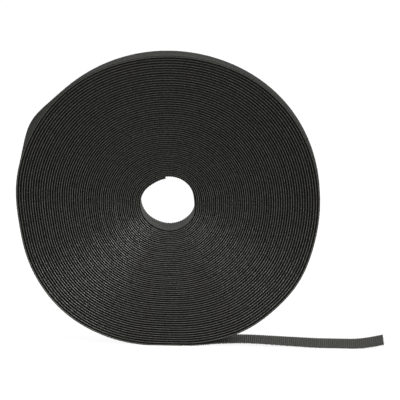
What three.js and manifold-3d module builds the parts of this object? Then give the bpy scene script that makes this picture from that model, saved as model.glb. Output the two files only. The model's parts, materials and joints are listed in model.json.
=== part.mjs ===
// A coreless roll of hook and loop tape standing on its edge, with its outer end lying free on the floor.
// Millimetres and degrees. +Z is up, the roll's axis runs along Y, and the origin is on the floor under it.
// Angles are seen from the front (-Y), counter-clockwise from +X. The tape winds outwards that way.

import * as THREE from 'three';
import { mergeVertices } from 'three/addons/utils/BufferGeometryUtils.js';
import Module from 'manifold-3d';

const wasm = await Module();
wasm.setup();

// The tape.
const TAPE_WIDTH = 20;
const TAPE_THICKNESS = 1.1;

// The winding. Its turns are pressed together at the bore and lie looser towards the outside.
const BORE_RADIUS = 21.6;
const BORE_CLEARANCE = 0.3;
const OUTER_CLEARANCE = 0.98;
const WHOLE_TURNS = 57;
const INNER_END_ANGLE = 96;
const PAST_LOWEST = 10;
const INNER_LOOPS = 1;
const OUTER_LOOPS = 23;
const STEPS_PER_TURN = 36;

// Gap between two stretches of the tape that meet end to end.
const BUTT_GAP = 0.3;

// How far the outermost turn stands off a true circle: where, by how much, and over what spread.
const OUTER_SWELLS = {
  upperRightSwell: { angle: 42.5, rise: 1.2, spread: 18 },
  leftFlat: { angle: 189, rise: -2.2, spread: 9.5 },
  lowerLeftSwell: { angle: 228.7, rise: 1.7, spread: 12 },
  bottomFlat: { angle: 268.4, rise: -2.3, spread: 9.9 },
  takeOffSwell: { angle: 303, rise: 2.3, spread: 9.5 },
  lowerRightSwell: { angle: 326.5, rise: 2.6, spread: 10.5 },
};

// The innermost turns have sunk into the bore, more at some places. It fades over this depth of turns.
const BORE_SAG = 0.75;
const BORE_FADE = 9;
const BORE_SWELLS = {
  rightDent: { angle: 6, rise: -1.4, spread: 16 },
  upperRightSwell: { angle: 62, rise: 0.75, spread: 22 },
  upperLeftFlat: { angle: 123, rise: -0.8, spread: 14 },
  leftSwell: { angle: 172, rise: 0.35, spread: 16 },
  lowerLeftFlat: { angle: 245, rise: -0.45, spread: 14 },
};

// The outermost turn's back edge is bent outwards at one place.
const FLARE_ANGLE = 150;
const FLARE_RISE = 4.1;
const FLARE_SPREAD = 7;

// Depth of the flat that the outermost turn is pressed to where it stands.
const STAND_FLAT_DEPTH = 0.5;

// Height of the free tail's underside over the floor, at each bend after the one at the roll and at its tip.
const TAIL_LIFTS = [1.7, 2.6, 1.8, 0.6, 0, 0, 4.5];

// The last stretch of the tail keeps the roll's curl: it has one fixed bend with no hinge, then the tip.
const CURLED_STEPS = 2;
const TIP_LENGTH = 28;

const FULL_TURN = 360;
const LOWEST_ANGLE = 270;
const STEP_ANGLE = FULL_TURN / STEPS_PER_TURN;
const OUTER_END_ANGLE = LOWEST_ANGLE + PAST_LOWEST;
const WOUND_END = WHOLE_TURNS * FULL_TURN + OUTER_END_ANGLE;
const TURNS = (WOUND_END - INNER_END_ANGLE) / FULL_TURN;
const OUTER_START = WOUND_END - OUTER_LOOPS * FULL_TURN;
const INNER_STOP = INNER_END_ANGLE + INNER_LOOPS * FULL_TURN;
const WOUND_RADIUS = innerFaceRadius(WOUND_END) + TAPE_THICKNESS;
const LAST_FLARE = WOUND_END - (OUTER_END_ANGLE - FLARE_ANGLE);
const LAST_LOWEST = WOUND_END - PAST_LOWEST;
const AXIS_HEIGHT = shapedRadius(LAST_LOWEST, TAPE_THICKNESS) - STAND_FLAT_DEPTH;

const TAPE = { roughness: 0.85, metalness: 0 };
const WEB_BLACK = new THREE.MeshStandardMaterial({ color: 0x2c2c2a, ...TAPE });
const PACKED_BLACK = new THREE.MeshStandardMaterial({ color: 0x262625, ...TAPE });
const HOOK_GREY = new THREE.MeshStandardMaterial({ color: 0x4a4a47, ...TAPE });

/** Radius of the tape's inner face, on a true spiral, at an angle counted on through every turn. */
function innerFaceRadius(angle) {
  const turns = (angle - INNER_END_ANGLE) / FULL_TURN;
  const loosening = ((OUTER_CLEARANCE - BORE_CLEARANCE) * turns ** 2) / (2 * TURNS);
  return BORE_RADIUS + (TAPE_THICKNESS + BORE_CLEARANCE) * turns + loosening;
}

/** A bell curve of height 1, for soft swells and dents. */
function bell(offset, spread) {
  return Math.exp(-0.5 * (offset / spread) ** 2);
}

/** How far some swells together stand off a true circle at an angle. */
function offRound(angle, swells) {
  const halfTurn = FULL_TURN / 2;
  const shortWay = (target) => {
    const offset = (((angle - target + halfTurn) % FULL_TURN) + FULL_TURN) % FULL_TURN;
    return offset - halfTurn;
  };
  const rises = Object.values(swells).map(({ angle: at, rise, spread }) => rise * bell(shortWay(at), spread));
  return rises.reduce((sum, rise) => sum + rise, 0);
}

/** Radius at a depth into the tape. The roll's swells fade out inwards, and the bore's outwards. */
function shapedRadius(angle, depth) {
  const innerFace = innerFaceRadius(angle);
  const radius = innerFace + depth;
  const outerShare = (radius - BORE_RADIUS) / (WOUND_RADIUS - BORE_RADIUS);
  const boreShare = Math.exp((BORE_RADIUS - innerFace) / BORE_FADE);
  const boreRise = offRound(angle, BORE_SWELLS) - BORE_SAG;
  return radius + outerShare * offRound(angle, OUTER_SWELLS) + boreShare * boreRise;
}

/** How far the back edge of the outermost turn is bent outwards. Turns below it lie flat. */
function backFlare(angle) {
  return angle > WOUND_END - FULL_TURN ? FLARE_RISE * bell(angle - LAST_FLARE, FLARE_SPREAD) : 0;
}

/** A point at a radius and an angle about the roll's axis, at a place across the tape. */
function rollPoint(radius, angle, across) {
  const turn = THREE.MathUtils.degToRad(angle);
  return new THREE.Vector3(radius * Math.cos(turn), across, AXIS_HEIGHT + radius * Math.sin(turn));
}

/** The tape's four corners at an angle: inner front, outer front, outer back and inner back. */
function woundSection(angle) {
  const inner = shapedRadius(angle, 0);
  const outer = shapedRadius(angle, TAPE_THICKNESS);
  const flare = backFlare(angle);
  return [
    rollPoint(inner, angle, -TAPE_WIDTH / 2),
    rollPoint(outer, angle, -TAPE_WIDTH / 2),
    rollPoint(outer + flare, angle, TAPE_WIDTH / 2),
    rollPoint(inner + flare, angle, TAPE_WIDTH / 2),
  ];
}

/** Angles from one end of a stretch to the other, at steps that line up from turn to turn. */
function stepAngles(start, stop) {
  const angles = [start];
  for (let step = Math.floor(start / STEP_ANGLE) + 1; step * STEP_ANGLE < stop; step += 1) {
    angles.push(step * STEP_ANGLE);
  }
  angles.push(stop);
  return angles;
}

/** The angle that a length along the tape takes up at a place on the roll. */
function angleOf(length, angle) {
  return THREE.MathUtils.radToDeg(length / shapedRadius(angle, TAPE_THICKNESS / 2));
}

/** A closed solid through four-cornered sections, capped at both ends. */
function sweep(sections) {
  const corners = sections[0].length;
  const last = (sections.length - 1) * corners;
  const indices = [0, 3, 2, 0, 2, 1];
  for (let ring = 0; ring < last; ring += corners) {
    for (let corner = 0; corner < corners; corner += 1) {
      const next = (corner + 1) % corners;
      const near = [ring + corner, ring + next];
      const far = [ring + corners + corner, ring + corners + next];
      indices.push(near[0], near[1], far[1], near[0], far[1], far[0]);
    }
  }
  indices.push(last, last + 1, last + 2, last, last + 2, last + 3);
  const geometry = new THREE.BufferGeometry().setFromPoints(sections.flat());
  geometry.setIndex(indices);
  return geometry;
}

/** A closed geometry as a solid that can be cut. */
function toSolid(geometry) {
  const bare = geometry.clone();
  bare.deleteAttribute('normal');
  bare.deleteAttribute('uv');
  const merged = mergeVertices(bare);
  const vertProperties = new Float32Array(merged.attributes.position.array);
  const triVerts = new Uint32Array(merged.index.array);
  return new wasm.Manifold(new wasm.Mesh({ numProp: 3, vertProperties, triVerts }));
}

/** A cut solid as a geometry again. */
function toGeometry(solid) {
  const { vertProperties, triVerts } = solid.getMesh();
  const geometry = new THREE.BufferGeometry();
  geometry.setAttribute('position', new THREE.BufferAttribute(vertProperties, 3));
  geometry.setIndex(new THREE.BufferAttribute(triVerts, 1));
  return geometry;
}

/** Cuts away whatever reaches below the floor, which leaves the flat that the roll stands on. */
function standOnFloor(geometry) {
  const side = 2 * WOUND_RADIUS;
  const ground = new THREE.BoxGeometry(side, side, side).translate(0, 0, -side / 2);
  return toGeometry(toSolid(geometry).subtract(toSolid(ground)));
}

/** One named piece. */
function piece(name, geometry, material) {
  const mesh = new THREE.Mesh(geometry, material);
  mesh.name = name;
  return mesh;
}

/** A wound stretch of the tape as sections. */
function woundSections(start, stop) {
  return stepAngles(start, stop).map(woundSection);
}

/** The packed turns, as one ring with the step of one turn in its bore and in its outer face. */
function packedRing() {
  const flat = (angle, depth) => {
    const point = rollPoint(shapedRadius(angle, depth), angle, 0);
    return new THREE.Vector2(point.x, point.z);
  };
  const outside = stepAngles(OUTER_START - FULL_TURN, OUTER_START).map((a) => flat(a, TAPE_THICKNESS));
  const inside = stepAngles(INNER_STOP, INNER_STOP + FULL_TURN).map((a) => flat(a, 0));
  const shape = new THREE.Shape(outside);
  shape.holes.push(new THREE.Path(inside));
  const ring = new THREE.ExtrudeGeometry(shape, { depth: TAPE_WIDTH, bevelEnabled: false });
  return ring.rotateX(Math.PI / 2).translate(0, TAPE_WIDTH / 2, 0);
}

/** The bends of the free tail at mid thickness: one at the roll, then one a step, and the tip. */
function tailBends() {
  const reach = shapedRadius(WOUND_END, TAPE_THICKNESS / 2);
  const step = 2 * reach * Math.sin(THREE.MathUtils.degToRad(STEP_ANGLE / 2));
  const bends = [rollPoint(reach, WOUND_END, 0)];
  TAIL_LIFTS.forEach((lift, i) => {
    const length = i < TAIL_LIFTS.length - 1 ? step : TIP_LENGTH;
    const height = lift + TAPE_THICKNESS / 2;
    const along = Math.sqrt(length ** 2 - (height - bends[i].z) ** 2);
    bends.push(new THREE.Vector3(bends[i].x + along, 0, height));
  });
  return bends;
}

/** The tape's four corners at a place on the tail that runs in a direction, ordered as the wound ones. */
function tailSection(place, direction) {
  const outwards = new THREE.Vector3(direction.z, 0, -direction.x).multiplyScalar(TAPE_THICKNESS / 2);
  const front = new THREE.Vector3(0, -TAPE_WIDTH / 2, 0);
  const inner = place.clone().sub(outwards);
  const outer = place.clone().add(outwards);
  return [
    inner.clone().add(front),
    outer.clone().add(front),
    outer.clone().sub(front),
    inner.clone().sub(front),
  ];
}

/** One stretch of the tail through its bends, held back by half a gap at each end that meets another. */
function tailStretch(places, meetsNext) {
  const last = places.length - 1;
  const ways = places.slice(1).map((place, i) => place.clone().sub(places[i]).normalize());
  const gap = BUTT_GAP / 2;
  const sections = places.map((place, i) => {
    if (i === 0) {
      return tailSection(place.clone().addScaledVector(ways[0], gap), ways[0]);
    }
    if (i === last) {
      return tailSection(place.clone().addScaledVector(ways[last - 1], meetsNext ? -gap : 0), ways[last - 1]);
    }
    return tailSection(place, ways[i - 1].clone().add(ways[i]).normalize());
  });
  return sweep(sections);
}

/** Distance from a point to the stretch between two others. */
function distanceTo(point, from, to) {
  return new THREE.Line3(from, to).closestPointToPoint(point, true, new THREE.Vector3()).distanceTo(point);
}

/** The least gap between a turn's outer face and the next turn's inner face, at both edges of the tape. */
function leastGap(sections) {
  const edges = [{ outer: 1, inner: 0 }, { outer: 2, inner: 3 }];
  let least = Infinity;
  for (let i = 0; i + STEPS_PER_TURN + 1 < sections.length; i += 1) {
    for (const { outer, inner } of edges) {
      for (let over = Math.max(i + STEPS_PER_TURN - 2, 0); over <= i + STEPS_PER_TURN; over += 1) {
        const from = sections[over][inner];
        const to = sections[over + 1][inner];
        least = Math.min(least, distanceTo(sections[i][outer], from, to));
      }
    }
  }
  return least;
}

const roll = new THREE.Group();

const innerSections = woundSections(INNER_END_ANGLE, INNER_STOP - angleOf(BUTT_GAP, INNER_STOP));
roll.add(piece('inner_turn', sweep(innerSections), HOOK_GREY));

roll.add(piece('middle_wraps', packedRing(), PACKED_BLACK));

const outerSections = woundSections(
  OUTER_START + angleOf(BUTT_GAP, OUTER_START),
  WOUND_END - angleOf(BUTT_GAP / 2, WOUND_END),
);
roll.add(piece('outer_wraps', standOnFloor(sweep(outerSections)), WEB_BLACK));

const bends = tailBends();
const hinged = bends.length - 1 - CURLED_STEPS;
const tail = new THREE.Group();
for (let i = 0; i < hinged; i += 1) {
  tail.add(piece(`tail_${i + 1}`, tailStretch([bends[i], bends[i + 1]], true), HOOK_GREY));
}
tail.add(piece(`tail_${hinged + 1}`, tailStretch(bends.slice(hinged), false), HOOK_GREY));
roll.add(tail);

console.log(`least gap between the turns of outer_wraps: ${leastGap(outerSections).toFixed(3)} mm`);

export default roll;
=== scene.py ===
"""A coreless roll of charcoal hook and loop tape, standing on its edge with its outer end free on the floor.

Metres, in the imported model's frame: the roll's axis runs along Y, +Z is up and the front is -Y. Angles about
the axis are in degrees, seen from the front, counter-clockwise from +X, and count on from turn to turn.
"""

import json
import logging
import math
from dataclasses import dataclass, field
from enum import Enum
from functools import reduce
from typing import ClassVar, Sequence, Union

import bpy
import numpy as np
from mathutils import Matrix, Vector


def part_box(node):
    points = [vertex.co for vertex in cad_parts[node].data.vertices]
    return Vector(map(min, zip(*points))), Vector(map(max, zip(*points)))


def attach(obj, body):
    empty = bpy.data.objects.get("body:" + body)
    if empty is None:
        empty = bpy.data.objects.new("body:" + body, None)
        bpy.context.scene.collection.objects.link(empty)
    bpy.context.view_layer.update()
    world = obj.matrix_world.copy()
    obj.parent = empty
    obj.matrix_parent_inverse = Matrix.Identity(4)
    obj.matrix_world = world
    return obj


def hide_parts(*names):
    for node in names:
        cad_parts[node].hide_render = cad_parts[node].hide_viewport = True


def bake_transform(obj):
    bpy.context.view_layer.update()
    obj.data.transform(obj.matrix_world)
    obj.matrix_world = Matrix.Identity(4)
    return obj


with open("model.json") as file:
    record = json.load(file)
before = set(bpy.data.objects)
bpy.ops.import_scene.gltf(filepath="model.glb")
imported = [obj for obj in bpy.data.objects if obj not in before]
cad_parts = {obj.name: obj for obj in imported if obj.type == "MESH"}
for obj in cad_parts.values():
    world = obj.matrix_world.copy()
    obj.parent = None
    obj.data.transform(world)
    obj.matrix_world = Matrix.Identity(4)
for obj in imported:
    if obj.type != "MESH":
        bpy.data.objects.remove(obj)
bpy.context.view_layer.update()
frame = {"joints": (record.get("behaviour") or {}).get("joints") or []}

LOG = logging.getLogger("tape_roll")
MM = 0.001
FULL_TURN = 360.0
ACROSS = (0.0, 1.0, 0.0)

Socket = bpy.types.NodeSocket
Value = Union[Socket, float, int, bool, str, Sequence[float], bpy.types.Material]


def grey(level: float) -> tuple[float, float, float, float]:
    """A grey of this brightness, as a colour socket takes it."""
    return (level, level, level, 1.0)


WHITE = grey(1.0)


class Face(Enum):
    """The two faces of the tape, by which way they look on the roll: -1 to the axis, 1 away from it."""

    HOOKS = -1.0
    LOOPS = 1.0


class Weave(Enum):
    """What a web's threads show as: even ribs on its open faces, or uneven beads along its packed edges."""

    RIBS = "ribs"
    BEADS = "beads"


@dataclass(frozen=True)
class Tape:
    """The tape's layers. Depths are measured from its inner, hooked face.

    Args:
        width: width of the tape.
        thickness: its thickness with the pile pressed.
        web: thickness of the woven web.
        web_depth: depth of the web's middle.
        rounding: radius of the web's edges.
        rib_pitch: distance from rib to rib along the tape.
        rib_height: how far the ribs swell and the hollows between them sink.
        points_per_rib: how many steps a ribbed stretch takes from rib to rib.
        edge_inset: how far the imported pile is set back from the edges.
        pile_rounding: largest radius of a pile layer's edges.
        pile_rounding_share: the same as a share of the layer's thickness.
        row_margin: how much shorter a row of hooks or loops is than the tape is wide.
        root_depth: how deep hooks and loops are rooted in the web.
    """

    width: float = 20.0 * MM
    thickness: float = 1.1 * MM
    web: float = 0.64 * MM
    web_depth: float = 0.58 * MM
    rounding: float = 0.28 * MM
    rib_pitch: float = 1.67 * MM
    rib_height: float = 0.18 * MM
    points_per_rib: int = 6
    edge_inset: float = 0.55 * MM
    pile_rounding: float = 0.2 * MM
    pile_rounding_share: float = 0.4
    row_margin: float = 0.2 * MM
    root_depth: float = 0.03 * MM

    @property
    def rib_step(self) -> float:
        """Distance from point to point on a ribbed stretch."""
        return self.rib_pitch / self.points_per_rib


@dataclass
class Graph:
    """A node tree with short calls for adding nodes and joining their sockets.

    Args:
        tree: the shader or geometry tree that the nodes go in.
    """

    tree: bpy.types.NodeTree

    def feed(self, socket: Socket, value: Value) -> None:
        """Joins a socket to another one, or sets its value.

        Args:
            socket: the input that is fed.
            value: an output to join it to, or the value that it gets.
        """
        if isinstance(value, bpy.types.NodeSocket):
            self.tree.links.new(value, socket)
        else:
            socket.default_value = value

    def add(
        self, kind: str, inputs: dict[Union[str, int], Value] | None = None, **settings: object
    ) -> bpy.types.Node:
        """Adds a node.

        Args:
            kind: Blender's name for the node type.
            inputs: what goes into its sockets, by name or place.
            settings: the node's own settings.

        Returns:
            The new node.
        """
        node = self.tree.nodes.new(kind)
        for name, value in settings.items():
            setattr(node, name, value)
        for key, value in (inputs or {}).items():
            self.feed(node.inputs[key], value)
        return node

    def math(self, operation: str, *values: Value) -> Socket:
        """The result of a Math node on these values."""
        return self.add("ShaderNodeMath", dict(enumerate(values)), operation=operation).outputs[0]

    def product(self, *values: Value) -> Socket:
        """These numbers multiplied together."""
        return reduce(lambda first, second: self.math("MULTIPLY", first, second), values)

    def combined(self, **axes: Value) -> Socket:
        """A vector put together from its X, Y and Z."""
        return self.add("ShaderNodeCombineXYZ", axes).outputs[0]

    def vector(self, operation: str, *values: Value) -> Socket:
        """The result of a Vector Math node on these vectors."""
        return self.add("ShaderNodeVectorMath", dict(enumerate(values)), operation=operation).outputs[0]

    def scaled(self, vector: Value, factor: Value) -> Socket:
        """A vector times a number."""
        return self.add("ShaderNodeVectorMath", {0: vector, "Scale": factor}, operation="SCALE").outputs[0]

    def wave(self, distance: Value, pitch: Value) -> Socket:
        """A cosine of a distance that repeats each pitch, from -1 to 1."""
        turn = self.math("DIVIDE", self.math("MULTIPLY", distance, math.tau), pitch)
        return self.math("COSINE", turn)


@dataclass
class ShaderGraph(Graph):
    """The node tree of a material, with the texture calls that the finishes share."""

    NOISE_ROUGHNESS: ClassVar[float] = 0.55
    SHEEN_ROUGHNESS: ClassVar[float] = 0.5

    @classmethod
    def of(cls, material: bpy.types.Material) -> "ShaderGraph":
        """The emptied tree of a material.

        Args:
            material: the material.

        Returns:
            Its tree, ready for new nodes.
        """
        material.use_nodes = True
        material.node_tree.nodes.clear()
        return cls(material.node_tree)

    def attribute(self, name: str) -> Socket:
        """A number that the mesh carries at each point."""
        return self.add("ShaderNodeAttribute", attribute_type="GEOMETRY", attribute_name=name).outputs["Fac"]

    def place(self) -> Socket:
        """Object coordinates, which are the frame's own metres."""
        return self.add("ShaderNodeTexCoord").outputs["Object"]

    def noise(self, size: float, detail: float = 2.0) -> Socket:
        """A noise from 0 to 1.

        Args:
            size: about how large its features are, in metres.
            detail: how finely they break up.

        Returns:
            The noise at each place on the object.
        """
        return self.add("ShaderNodeTexNoise", {
            "Vector": self.place(),
            "Scale": 1.0 / size,
            "Detail": detail,
            "Roughness": self.NOISE_ROUGHNESS,
        }).outputs["Fac"]

    def drift(self, distance: Value, size: float) -> Socket:
        """A noise from 0 to 1 along a distance, with swings of about this size in metres."""
        inputs = {"W": distance, "Scale": 1.0 / size, "Detail": 1.0}
        return self.add("ShaderNodeTexNoise", inputs, noise_dimensions="1D").outputs["Fac"]

    def rise(self, value: Socket, low: float, high: float) -> Socket:
        """A value's way from one bound to another, from 0 to 1 and no further."""
        bounds = {"Value": value, "From Min": low, "From Max": high}
        return self.add("ShaderNodeMapRange", bounds).outputs["Result"]

    def spread(self, value: Value, low: float, high: float) -> Socket:
        """A value from 0 to 1 mapped to run from low to high."""
        bounds = {"Value": value, "To Min": low, "To Max": high}
        return self.add("ShaderNodeMapRange", bounds).outputs["Result"]

    def around(self, value: Value, contrast: float) -> Socket:
        """A value from 0 to 1 mapped to run as far under 1 as over it."""
        return self.spread(value, 1.0 - contrast, 1.0 + contrast)

    def mixed(self, factor: Value, first: Sequence[float], second: Sequence[float]) -> Socket:
        """A colour between two others.

        Args:
            factor: 0 for the first of them, 1 for the second.
            first: a colour.
            second: another colour.

        Returns:
            The mixed colour.
        """
        node = self.add("ShaderNodeMix", {"Factor": factor}, data_type="RGBA")
        # The node keeps its sockets for colours after those for numbers and vectors.
        self.feed(node.inputs[6], (*first, 1.0))
        self.feed(node.inputs[7], (*second, 1.0))
        return node.outputs[2]

    def relief(self, height: Socket, strength: float) -> Socket:
        """Normals of a surface with this relief in metres."""
        inputs = {"Strength": strength, "Distance": 1.0, "Height": height}
        return self.add("ShaderNodeBump", inputs).outputs[0]

    def cloth(self, colour: Socket, normal: Socket, gloss: "Gloss") -> Socket:
        """A cloth shader.

        Args:
            colour: its base colour.
            normal: its normals.
            gloss: how it throws light back.

        Returns:
            The shader.
        """
        return self.add("ShaderNodeBsdfPrincipled", {
            "Base Color": colour,
            "Roughness": gloss.roughness,
            "IOR": gloss.refraction,
            "Specular IOR Level": gloss.specular,
            "Sheen Weight": gloss.sheen,
            "Sheen Roughness": self.SHEEN_ROUGHNESS,
            "Normal": normal,
        }).outputs[0]

    def end(self, surface: Socket) -> None:
        """Ends the tree in a surface shader."""
        self.add("ShaderNodeOutputMaterial", {"Surface": surface})


@dataclass(frozen=True)
class Gloss:
    """How a surface throws light back.

    Args:
        roughness: how far its reflections are blurred.
        specular: how strong they are.
        sheen: strength of the soft light that its fibres throw back.
        refraction: its index of refraction.
    """

    roughness: float
    specular: float
    sheen: float = 0.0
    refraction: float = 1.5


@dataclass(frozen=True)
class TapeFinish:
    """What all finishes of the tape share.

    Args:
        name: the material's name.
        slot: the record's material slot; not used.
        dark: colour of the darkest threads, and of a web's painted shade in its hollows.
        light: colour of the bare threads.
        gloss: gloss of the dull threads.
        relief: strength of the fine relief.
    """

    name: str
    slot: str
    dark: tuple[float, float, float]
    light: tuple[float, float, float]
    gloss: Gloss = Gloss(0.85, 0.1, 0.1)
    relief: float = 0.4


@dataclass(frozen=True)
class WebFinish(TapeFinish):
    """Woven nylon web, lighter on the side that the hooks stand on.

    Args:
        weave: what its threads show as.
        rib_pitch: distance from rib to rib along the tape.
        rib_floor: height of the hollows between ribs, as a share of the ribs'.
        painted_hollow_shade: painted shade, how much darker the hollows between the ribs or beads are
            coloured.
        rib_relief: height of the ribs or beads in the fine relief.
        bead: size of the beads.
        bead_bounds: heights where a bead's shine begins and is whole.
        hollow_shine: how much the hollows between beads shine against the beads.
        turn_drift: length of tape over which its tone changes.
        turn_contrast: how much the tone changes from turn to turn.
        thread: width of one thread.
        thread_contrast: how much the threads differ in tone.
        thread_relief: height of the threads in the fine relief.
        blotch: size of the uneven patches.
        blotch_contrast: how much they differ in tone.
        web: thickness of the web.
        outer_share: brightness of the looped side's edge against the hooked side's.
        bare_bounds: shares of the thickness where the bare threads begin and are whole.
        shine: gloss of the hooked side's bare threads.
    """

    weave: Weave = Weave.RIBS
    rib_pitch: float = Tape.rib_pitch
    rib_floor: float = 0.25
    painted_hollow_shade: float = 0.45
    rib_relief: float = 0.1 * MM
    bead: float = 1.3 * MM
    bead_bounds: tuple[float, float] = (0.38, 0.62)
    hollow_shine: float = 0.35
    turn_drift: float = 180.0 * MM
    turn_contrast: float = 0.0
    thread: float = 0.4 * MM
    thread_contrast: float = 0.45
    thread_relief: float = 0.08 * MM
    blotch: float = 22.0 * MM
    blotch_contrast: float = 0.2
    web: float = Tape.web
    outer_share: float = 0.25
    bare_bounds: tuple[float, float] = (0.35, 0.65)
    shine: Gloss = Gloss(0.38, 0.7)

    def material(self) -> bpy.types.Material:
        """Builds the material.

        Returns:
            A new material.
        """
        made = bpy.data.materials.new(self.name)
        graph = ShaderGraph.of(made)
        along = graph.attribute("along")
        if self.weave is Weave.RIBS:
            rib = graph.spread(graph.wave(along, self.rib_pitch), self.rib_floor, 1.0)
        else:
            rib = graph.noise(self.bead)
        depth = graph.math("DIVIDE", graph.attribute("depth"), self.web)
        # 0 on the looped side of the web, 1 on the hooked side.
        inner = graph.math("ADD", depth, 0.5)
        threads = graph.noise(self.thread)
        # The first factor is painted shade: the hollows between ribs or beads are darkened in the colour,
        # besides their relief.
        tone = graph.product(
            graph.spread(rib, 1.0 - self.painted_hollow_shade, 1.0),
            graph.spread(inner, self.outer_share, 1.0),
            graph.around(threads, self.thread_contrast),
            graph.around(graph.noise(self.blotch), self.blotch_contrast),
            graph.around(graph.drift(along, self.turn_drift), self.turn_contrast),
        )
        colour = graph.mixed(tone, self.dark, self.light)
        ribs = graph.spread(rib, 0.0, self.rib_relief)
        height = graph.math("ADD", ribs, graph.spread(threads, 0.0, self.thread_relief))
        normal = graph.relief(height, self.relief)
        bare = graph.rise(inner, *self.bare_bounds)
        if self.weave is Weave.BEADS:
            beads = graph.rise(rib, *self.bead_bounds)
            bare = graph.product(bare, graph.spread(beads, self.hollow_shine, 1.0))
        matt = graph.cloth(colour, normal, self.gloss)
        bright = graph.cloth(colour, normal, self.shine)
        graph.end(graph.add("ShaderNodeMixShader", {0: bare, 1: matt, 2: bright}).outputs[0])
        return made


@dataclass(frozen=True)
class PileFinish(TapeFinish):
    """Nylon pile: loops, hooks, or the two pressed into each other.

    Args:
        fibre: size of the spots that single fibres make.
        fibre_detail: how finely they break up.
        fibre_tones: darkest and lightest of them.
        fibre_relief: their height in the fine relief.
        blotch: size of the uneven patches.
        blotch_tones: darkest and lightest of them.
    """

    fibre: float = 0.3 * MM
    fibre_detail: float = 3.0
    fibre_tones: tuple[float, float] = (0.0, 1.3)
    fibre_relief: float = 0.1 * MM
    blotch: float = 15.0 * MM
    blotch_tones: tuple[float, float] = (0.6, 1.2)

    def material(self) -> bpy.types.Material:
        """Builds the material.

        Returns:
            A new material.
        """
        made = bpy.data.materials.new(self.name)
        graph = ShaderGraph.of(made)
        fibres = graph.noise(self.fibre, self.fibre_detail)
        patches = graph.spread(graph.noise(self.blotch), *self.blotch_tones)
        tone = graph.product(graph.spread(fibres, *self.fibre_tones), patches)
        normal = graph.relief(graph.spread(fibres, 0.0, self.fibre_relief), self.relief)
        graph.end(graph.cloth(graph.mixed(tone, self.dark, self.light), normal, self.gloss))
        return made


@dataclass
class TapePath:
    """A line along the middle of one layer of the tape, with what its cross sections need at each point.

    Args:
        points: places on the line, in the row frame.
        outward: unit vectors from the hooked face to the looped one.
        along: distance along the tape.
        front_rise: how far the front edge is bent outwards.
        back_rise: how far the back edge is bent outwards.
        wander: how far the tape lies off centre, along the roll's axis.
        fullness: thickness of the layer there, as a share of its full one.
    """

    points: np.ndarray
    outward: np.ndarray
    along: np.ndarray
    front_rise: np.ndarray
    back_rise: np.ndarray
    wander: np.ndarray
    fullness: np.ndarray

    NUMBERS: ClassVar[tuple[str, ...]] = ("along", "front_rise", "back_rise", "wander", "fullness")
    ALL: ClassVar[tuple[str, ...]] = ("points", "outward", *NUMBERS)

    @property
    def length(self) -> float:
        """Length of the line."""
        return float(self.along[-1] - self.along[0])

    def joined(self, other: "TapePath") -> "TapePath":
        """This line with another one that goes on from its last point."""
        pairs = ((getattr(self, label), getattr(other, label)) for label in self.ALL)
        return TapePath(*(np.concatenate([before[:-1], after]) for before, after in pairs))

    def between(self, other: "TapePath") -> "TapePath":
        """The line half way between this one and another with as many points."""
        return TapePath(*((getattr(self, label) + getattr(other, label)) / 2 for label in self.ALL))

    def part(self, start: float, stop: float, step: float) -> "TapePath":
        """A stretch of the line at even steps.

        Args:
            start: distance along the tape where the stretch begins.
            stop: distance along the tape where it ends.
            step: about how far apart its points are.

        Returns:
            The stretch as a line of its own.
        """
        along = np.linspace(start, stop, max(2, round((stop - start) / step) + 1))

        def at(values: np.ndarray) -> np.ndarray:
            """These values at the stretch's own points."""
            return np.interp(along, self.along, values)

        points = np.stack([at(c) for c in self.points.T], axis=1)
        outward = np.stack([at(c) for c in self.outward.T], axis=1)
        outward /= np.linalg.norm(outward, axis=1, keepdims=True)
        return TapePath(points, outward, *(at(getattr(self, label)) for label in self.NUMBERS))

    def to_object(self, name: str) -> bpy.types.Object:
        """The line as a wire mesh that carries its numbers as attributes.

        Args:
            name: the object's name.

        Returns:
            A mesh object at the origin.
        """
        mesh = bpy.data.meshes.new(name)
        mesh.from_pydata(self.points.tolist(), [(i, i + 1) for i in range(len(self.points) - 1)], [])
        for label in self.NUMBERS:
            attribute = mesh.attributes.new(label, "FLOAT", "POINT")
            attribute.data.foreach_set("value", getattr(self, label).astype(np.float32))
        attribute = mesh.attributes.new("outward", "FLOAT_VECTOR", "POINT")
        attribute.data.foreach_set("vector", self.outward.astype(np.float32).ravel())
        made = bpy.data.objects.new(name, mesh)
        bpy.context.scene.collection.objects.link(made)
        return made


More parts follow.
